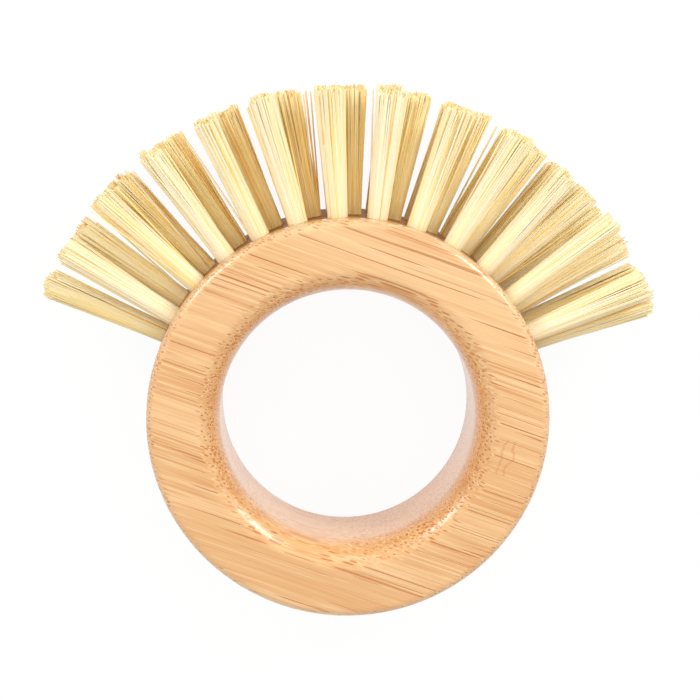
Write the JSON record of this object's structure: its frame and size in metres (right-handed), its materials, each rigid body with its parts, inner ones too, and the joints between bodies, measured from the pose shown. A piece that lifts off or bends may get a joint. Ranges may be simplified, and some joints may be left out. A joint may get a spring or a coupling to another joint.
{
  "type": "dish brush",
  "caption": "Ring-shaped dish brush: a turned bamboo finger ring with a fan of trimmed plant-fibre bristle tufts set in staggered rows around the upper part of its outer wall.",
  "frame": {"origin": "on the ring's axis, halfway through the ring's thickness, in the middle of the finger bore", "axes": "+Z along the ring's axis and out of its front face, +Y from the axis to the middle of the bristle fan, +X across the fan"},
  "size_m": [0.1388, 0.1185, 0.03],
  "materials": {
    "bamboo": "glue-laminated bamboo, turned, sanded and clear lacquered",
    "bristle": "straw-coloured plant-fibre bristles, trimmed ends",
    "anchor_wire": "drawn and galvanised flat wire"
  },
  "bodies": {
    "root": {"ring_handle": "bamboo", "front_tuft_01": "bristle", "front_tuft_02": "bristle", "front_tuft_03": "bristle", "front_tuft_04": "bristle", "front_tuft_05": "bristle", "front_tuft_06": "bristle", "front_tuft_07": "bristle", "front_tuft_08": "bristle", "front_tuft_09": "bristle", "front_tuft_10": "bristle", "front_tuft_11": "bristle", "front_tuft_12": "bristle", "middle_tuft_01": "bristle", "middle_tuft_02": "bristle", "middle_tuft_03": "bristle", "middle_tuft_04": "bristle", "middle_tuft_05": "bristle", "middle_tuft_06": "bristle", "middle_tuft_07": "bristle", "middle_tuft_08": "bristle", "middle_tuft_09": "bristle", "middle_tuft_10": "bristle", "middle_tuft_11": "bristle", "middle_tuft_12": "bristle", "middle_tuft_13": "bristle", "rear_tuft_01": "bristle", "rear_tuft_02": "bristle", "rear_tuft_03": "bristle", "rear_tuft_04": "bristle", "rear_tuft_05": "bristle", "rear_tuft_06": "bristle", "rear_tuft_07": "bristle", "rear_tuft_08": "bristle", "rear_tuft_09": "bristle", "rear_tuft_10": "bristle", "rear_tuft_11": "bristle", "rear_tuft_12": "bristle", "front_anchors": "anchor_wire", "middle_anchors": "anchor_wire", "rear_anchors": "anchor_wire"}
  },
  "joints": []
}
